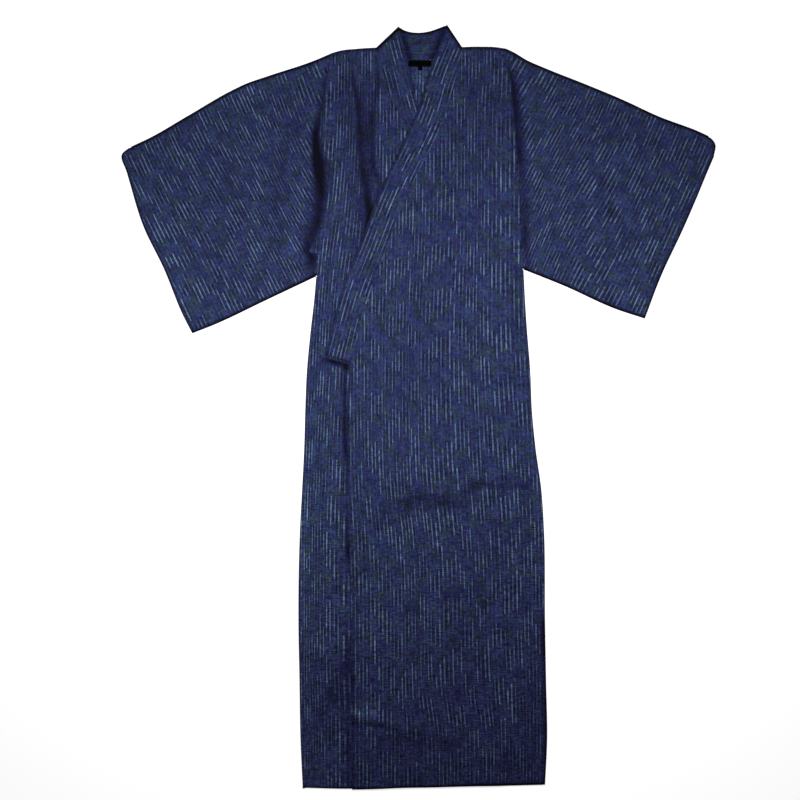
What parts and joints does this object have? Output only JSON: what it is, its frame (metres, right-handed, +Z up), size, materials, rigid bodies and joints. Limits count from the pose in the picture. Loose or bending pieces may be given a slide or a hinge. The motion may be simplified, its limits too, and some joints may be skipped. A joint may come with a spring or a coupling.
{
  "type": "cotton yukata robe",
  "caption": "Unlined cotton yukata robe laid flat with the left front wrapped over the right, wide open sleeves, overlap strips and a band collar folded over at the neck.",
  "frame": {"origin": "middle of the robe's outline, on the flat surface that it lies on", "axes": "+Y along the length towards the collar, +X towards the wearer's left sleeve, +Z up out of the front"},
  "size_m": [1.128, 1.4514, 0.0111],
  "materials": {
    "indigo_cotton": "matt plain-woven indigo cotton with pale broken lengthwise stripes",
    "black_label": "satin-woven black label tape, blank"
  },
  "bodies": {
    "root": {"body_right": "indigo_cotton", "body_left": "indigo_cotton", "overlap_right": "indigo_cotton", "overlap_left": "indigo_cotton", "sleeve_right": "indigo_cotton", "sleeve_left": "indigo_cotton", "collar": "indigo_cotton", "neck_label": "black_label", "size_tab": "black_label"}
  },
  "joints": []
}
